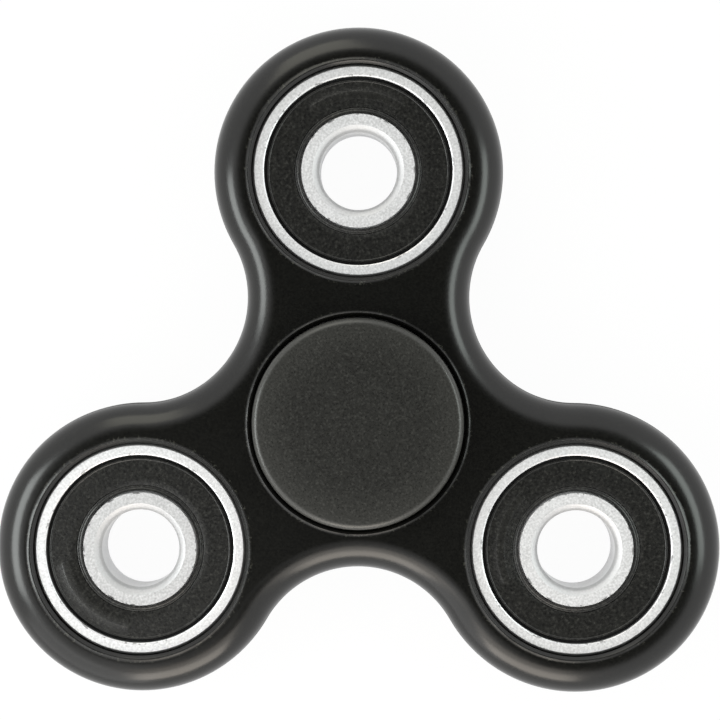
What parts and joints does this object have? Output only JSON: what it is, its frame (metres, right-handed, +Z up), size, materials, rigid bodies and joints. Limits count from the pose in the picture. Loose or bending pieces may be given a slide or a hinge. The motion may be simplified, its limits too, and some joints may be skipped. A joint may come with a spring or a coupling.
{
  "type": "fidget spinner",
  "caption": "Lobed fidget spinner: a black moulded body spins on a middle ball bearing held between finger caps, with a sealed ball bearing as a weight in each lobe.",
  "frame": {"origin": "middle of the lower finger cap's outer face, on the spin axis, so the part stands on z = 0", "axes": "+Z up along the spin axis, +Y from the axis to the lobe of weight_1, +X to the right of that lobe"},
  "size_m": [0.075, 0.069, 0.012],
  "materials": {
    "body_plastic": "black, satin gloss, moulded",
    "cap_plastic": "dark grey, fine-grained, matte",
    "ring_steel": "ground bearing steel",
    "ball_steel": "polished bearing steel",
    "cage_steel": "pressed sheet steel",
    "seal_rubber": "black moulded rubber, matte"
  },
  "bodies": {
    "finger_caps": {"upper_cap": "cap_plastic", "lower_cap": "cap_plastic", "centre_inner_ring": "ring_steel"},
    "spinner_body": {"three_lobe_body": "body_plastic", "centre_outer_ring": "ring_steel", "centre_upper_seal": "seal_rubber", "centre_lower_seal": "seal_rubber", "weight_1_outer_ring": "ring_steel", "weight_1_upper_seal": "seal_rubber", "weight_1_lower_seal": "seal_rubber", "weight_2_outer_ring": "ring_steel", "weight_2_upper_seal": "seal_rubber", "weight_2_lower_seal": "seal_rubber", "weight_3_outer_ring": "ring_steel", "weight_3_upper_seal": "seal_rubber", "weight_3_lower_seal": "seal_rubber"},
    "centre_cage": {"centre_upper_cage": "cage_steel", "centre_lower_cage": "cage_steel"},
    "centre_ball_1": {"centre_ball_1": "ball_steel"},
    "centre_ball_2": {"centre_ball_2": "ball_steel"},
    "centre_ball_3": {"centre_ball_3": "ball_steel"},
    "centre_ball_4": {"centre_ball_4": "ball_steel"},
    "centre_ball_5": {"centre_ball_5": "ball_steel"},
    "centre_ball_6": {"centre_ball_6": "ball_steel"},
    "centre_ball_7": {"centre_ball_7": "ball_steel"},
    "weight_1_inner": {"weight_1_inner_ring": "ring_steel"},
    "weight_1_cage": {"weight_1_upper_cage": "cage_steel", "weight_1_lower_cage": "cage_steel"},
    "weight_1_ball_1": {"weight_1_ball_1": "ball_steel"},
    "weight_1_ball_2": {"weight_1_ball_2": "ball_steel"},
    "weight_1_ball_3": {"weight_1_ball_3": "ball_steel"},
    "weight_1_ball_4": {"weight_1_ball_4": "ball_steel"},
    "weight_1_ball_5": {"weight_1_ball_5": "ball_steel"},
    "weight_1_ball_6": {"weight_1_ball_6": "ball_steel"},
    "weight_1_ball_7": {"weight_1_ball_7": "ball_steel"},
    "weight_2_inner": {"weight_2_inner_ring": "ring_steel"},
    "weight_2_cage": {"weight_2_upper_cage": "cage_steel", "weight_2_lower_cage": "cage_steel"},
    "weight_2_ball_1": {"weight_2_ball_1": "ball_steel"},
    "weight_2_ball_2": {"weight_2_ball_2": "ball_steel"},
    "weight_2_ball_3": {"weight_2_ball_3": "ball_steel"},
    "weight_2_ball_4": {"weight_2_ball_4": "ball_steel"},
    "weight_2_ball_5": {"weight_2_ball_5": "ball_steel"},
    "weight_2_ball_6": {"weight_2_ball_6": "ball_steel"},
    "weight_2_ball_7": {"weight_2_ball_7": "ball_steel"},
    "weight_3_inner": {"weight_3_inner_ring": "ring_steel"},
    "weight_3_cage": {"weight_3_upper_cage": "cage_steel", "weight_3_lower_cage": "cage_steel"},
    "weight_3_ball_1": {"weight_3_ball_1": "ball_steel"},
    "weight_3_ball_2": {"weight_3_ball_2": "ball_steel"},
    "weight_3_ball_3": {"weight_3_ball_3": "ball_steel"},
    "weight_3_ball_4": {"weight_3_ball_4": "ball_steel"},
    "weight_3_ball_5": {"weight_3_ball_5": "ball_steel"},
    "weight_3_ball_6": {"weight_3_ball_6": "ball_steel"},
    "weight_3_ball_7": {"weight_3_ball_7": "ball_steel"}
  },
  "joints": [
    {"name": "body_spin", "type": "hinge", "parent": "finger_caps", "child": "spinner_body", "pos_m": [0, 0, 0.006], "axis": [0, 0, 1], "continuous": true},
    {"name": "weight_1_spin", "type": "hinge", "parent": "spinner_body", "child": "weight_1_inner", "pos_m": [0, 0.026, 0.006], "axis": [0, 0, 1], "continuous": true},
    {"name": "weight_2_spin", "type": "hinge", "parent": "spinner_body", "child": "weight_2_inner", "pos_m": [-0.02252, -0.013, 0.006], "axis": [0, 0, 1], "continuous": true},
    {"name": "weight_3_spin", "type": "hinge", "parent": "spinner_body", "child": "weight_3_inner", "pos_m": [0.02252, -0.013, 0.006], "axis": [0, 0, 1], "continuous": true},
    {"name": "centre_cage_spin", "type": "hinge", "parent": "finger_caps", "child": "centre_cage", "pos_m": [0, 0, 0.006], "axis": [0, 0, 1], "continuous": true},
    {"name": "centre_ball_1_roll", "type": "hinge", "parent": "centre_cage", "child": "centre_ball_1", "pos_m": [0.0075, 0, 0.006], "axis": [0, 0, 1], "continuous": true},
    {"name": "centre_ball_2_roll", "type": "hinge", "parent": "centre_cage", "child": "centre_ball_2", "pos_m": [0.00468, 0.00586, 0.006], "axis": [0, 0, 1], "continuous": true},
    {"name": "centre_ball_3_roll", "type": "hinge", "parent": "centre_cage", "child": "centre_ball_3", "pos_m": [-0.00167, 0.00731, 0.006], "axis": [0, 0, 1], "continuous": true},
    {"name": "centre_ball_4_roll", "type": "hinge", "parent": "centre_cage", "child": "centre_ball_4", "pos_m": [-0.00676, 0.00325, 0.006], "axis": [0, 0, 1], "continuous": true},
    {"name": "centre_ball_5_roll", "type": "hinge", "parent": "centre_cage", "child": "centre_ball_5", "pos_m": [-0.00676, -0.00325, 0.006], "axis": [0, 0, 1], "continuous": true},
    {"name": "centre_ball_6_roll", "type": "hinge", "parent": "centre_cage", "child": "centre_ball_6", "pos_m": [-0.00167, -0.00731, 0.006], "axis": [0, 0, 1], "continuous": true},
    {"name": "centre_ball_7_roll", "type": "hinge", "parent": "centre_cage", "child": "centre_ball_7", "pos_m": [0.00468, -0.00586, 0.006], "axis": [0, 0, 1], "continuous": true},
    {"name": "weight_1_cage_spin", "type": "hinge", "parent": "spinner_body", "child": "weight_1_cage", "pos_m": [0, 0.026, 0.006], "axis": [0, 0, 1], "continuous": true},
    {"name": "weight_1_ball_1_roll", "type": "hinge", "parent": "weight_1_cage", "child": "weight_1_ball_1", "pos_m": [0, 0.0335, 0.006], "axis": [0, 0, 1], "continuous": true},
    {"name": "weight_1_ball_2_roll", "type": "hinge", "parent": "weight_1_cage", "child": "weight_1_ball_2", "pos_m": [-0.00586, 0.03068, 0.006], "axis": [0, 0, 1], "continuous": true},
    {"name": "weight_1_ball_3_roll", "type": "hinge", "parent": "weight_1_cage", "child": "weight_1_ball_3", "pos_m": [-0.00731, 0.02433, 0.006], "axis": [0, 0, 1], "continuous": true},
    {"name": "weight_1_ball_4_roll", "type": "hinge", "parent": "weight_1_cage", "child": "weight_1_ball_4", "pos_m": [-0.00325, 0.01924, 0.006], "axis": [0, 0, 1], "continuous": true},
    {"name": "weight_1_ball_5_roll", "type": "hinge", "parent": "weight_1_cage", "child": "weight_1_ball_5", "pos_m": [0.00325, 0.01924, 0.006], "axis": [0, 0, 1], "continuous": true},
    {"name": "weight_1_ball_6_roll", "type": "hinge", "parent": "weight_1_cage", "child": "weight_1_ball_6", "pos_m": [0.00731, 0.02433, 0.006], "axis": [0, 0, 1], "continuous": true},
    {"name": "weight_1_ball_7_roll", "type": "hinge", "parent": "weight_1_cage", "child": "weight_1_ball_7", "pos_m": [0.00586, 0.03068, 0.006], "axis": [0, 0, 1], "continuous": true},
    {"name": "weight_2_cage_spin", "type": "hinge", "parent": "spinner_body", "child": "weight_2_cage", "pos_m": [-0.02252, -0.013, 0.006], "axis": [0, 0, 1], "continuous": true},
    {"name": "weight_2_ball_1_roll", "type": "hinge", "parent": "weight_2_cage", "child": "weight_2_ball_1", "pos_m": [-0.02901, -0.01675, 0.006], "axis": [0, 0, 1], "continuous": true},
    {"name": "weight_2_ball_2_roll", "type": "hinge", "parent": "weight_2_cage", "child": "weight_2_ball_2", "pos_m": [-0.02363, -0.02042, 0.006], "axis": [0, 0, 1], "continuous": true},
    {"name": "weight_2_ball_3_roll", "type": "hinge", "parent": "weight_2_cage", "child": "weight_2_ball_3", "pos_m": [-0.01742, -0.0185, 0.006], "axis": [0, 0, 1], "continuous": true},
    {"name": "weight_2_ball_4_roll", "type": "hinge", "parent": "weight_2_cage", "child": "weight_2_ball_4", "pos_m": [-0.01504, -0.01244, 0.006], "axis": [0, 0, 1], "continuous": true},
    {"name": "weight_2_ball_5_roll", "type": "hinge", "parent": "weight_2_cage", "child": "weight_2_ball_5", "pos_m": [-0.01829, -0.0068, 0.006], "axis": [0, 0, 1], "continuous": true},
    {"name": "weight_2_ball_6_roll", "type": "hinge", "parent": "weight_2_cage", "child": "weight_2_ball_6", "pos_m": [-0.02473, -0.00583, 0.006], "axis": [0, 0, 1], "continuous": true},
    {"name": "weight_2_ball_7_roll", "type": "hinge", "parent": "weight_2_cage", "child": "weight_2_ball_7", "pos_m": [-0.0295, -0.01026, 0.006], "axis": [0, 0, 1], "continuous": true},
    {"name": "weight_3_cage_spin", "type": "hinge", "parent": "spinner_body", "child": "weight_3_cage", "pos_m": [0.02252, -0.013, 0.006], "axis": [0, 0, 1], "continuous": true},
    {"name": "weight_3_ball_1_roll", "type": "hinge", "parent": "weight_3_cage", "child": "weight_3_ball_1", "pos_m": [0.02901, -0.01675, 0.006], "axis": [0, 0, 1], "continuous": true},
    {"name": "weight_3_ball_2_roll", "type": "hinge", "parent": "weight_3_cage", "child": "weight_3_ball_2", "pos_m": [0.0295, -0.01026, 0.006], "axis": [0, 0, 1], "continuous": true},
    {"name": "weight_3_ball_3_roll", "type": "hinge", "parent": "weight_3_cage", "child": "weight_3_ball_3", "pos_m": [0.02473, -0.00583, 0.006], "axis": [0, 0, 1], "continuous": true},
    {"name": "weight_3_ball_4_roll", "type": "hinge", "parent": "weight_3_cage", "child": "weight_3_ball_4", "pos_m": [0.01829, -0.0068, 0.006], "axis": [0, 0, 1], "continuous": true},
    {"name": "weight_3_ball_5_roll", "type": "hinge", "parent": "weight_3_cage", "child": "weight_3_ball_5", "pos_m": [0.01504, -0.01244, 0.006], "axis": [0, 0, 1], "continuous": true},
    {"name": "weight_3_ball_6_roll", "type": "hinge", "parent": "weight_3_cage", "child": "weight_3_ball_6", "pos_m": [0.01742, -0.0185, 0.006], "axis": [0, 0, 1], "continuous": true},
    {"name": "weight_3_ball_7_roll", "type": "hinge", "parent": "weight_3_cage", "child": "weight_3_ball_7", "pos_m": [0.02363, -0.02042, 0.006], "axis": [0, 0, 1], "continuous": true}
  ],
  "couplings": [
    {"joint": "centre_cage_spin", "follows": "body_spin", "ratio": 0.63233},
    {"joint": "centre_ball_1_roll", "follows": "body_spin", "ratio": 1.7568},
    {"joint": "centre_ball_2_roll", "follows": "body_spin", "ratio": 1.7568},
    {"joint": "centre_ball_3_roll", "follows": "body_spin", "ratio": 1.7568},
    {"joint": "centre_ball_4_roll", "follows": "body_spin", "ratio": 1.7568},
    {"joint": "centre_ball_5_roll", "follows": "body_spin", "ratio": 1.7568},
    {"joint": "centre_ball_6_roll", "follows": "body_spin", "ratio": 1.7568},
    {"joint": "centre_ball_7_roll", "follows": "body_spin", "ratio": 1.7568},
    {"joint": "weight_1_cage_spin", "follows": "weight_1_spin", "ratio": 0.36767},
    {"joint": "weight_1_ball_1_roll", "follows": "weight_1_spin", "ratio": -1.7568},
    {"joint": "weight_1_ball_2_roll", "follows": "weight_1_spin", "ratio": -1.7568},
    {"joint": "weight_1_ball_3_roll", "follows": "weight_1_spin", "ratio": -1.7568},
    {"joint": "weight_1_ball_4_roll", "follows": "weight_1_spin", "ratio": -1.7568},
    {"joint": "weight_1_ball_5_roll", "follows": "weight_1_spin", "ratio": -1.7568},
    {"joint": "weight_1_ball_6_roll", "follows": "weight_1_spin", "ratio": -1.7568},
    {"joint": "weight_1_ball_7_roll", "follows": "weight_1_spin", "ratio": -1.7568},
    {"joint": "weight_2_cage_spin", "follows": "weight_2_spin", "ratio": 0.36767},
    {"joint": "weight_2_ball_1_roll", "follows": "weight_2_spin", "ratio": -1.7568},
    {"joint": "weight_2_ball_2_roll", "follows": "weight_2_spin", "ratio": -1.7568},
    {"joint": "weight_2_ball_3_roll", "follows": "weight_2_spin", "ratio": -1.7568},
    {"joint": "weight_2_ball_4_roll", "follows": "weight_2_spin", "ratio": -1.7568},
    {"joint": "weight_2_ball_5_roll", "follows": "weight_2_spin", "ratio": -1.7568},
    {"joint": "weight_2_ball_6_roll", "follows": "weight_2_spin", "ratio": -1.7568},
    {"joint": "weight_2_ball_7_roll", "follows": "weight_2_spin", "ratio": -1.7568},
    {"joint": "weight_3_cage_spin", "follows": "weight_3_spin", "ratio": 0.36767},
    {"joint": "weight_3_ball_1_roll", "follows": "weight_3_spin", "ratio": -1.7568},
    {"joint": "weight_3_ball_2_roll", "follows": "weight_3_spin", "ratio": -1.7568},
    {"joint": "weight_3_ball_3_roll", "follows": "weight_3_spin", "ratio": -1.7568},
    {"joint": "weight_3_ball_4_roll", "follows": "weight_3_spin", "ratio": -1.7568},
    {"joint": "weight_3_ball_5_roll", "follows": "weight_3_spin", "ratio": -1.7568},
    {"joint": "weight_3_ball_6_roll", "follows": "weight_3_spin", "ratio": -1.7568},
    {"joint": "weight_3_ball_7_roll", "follows": "weight_3_spin", "ratio": -1.7568}
  ]
}
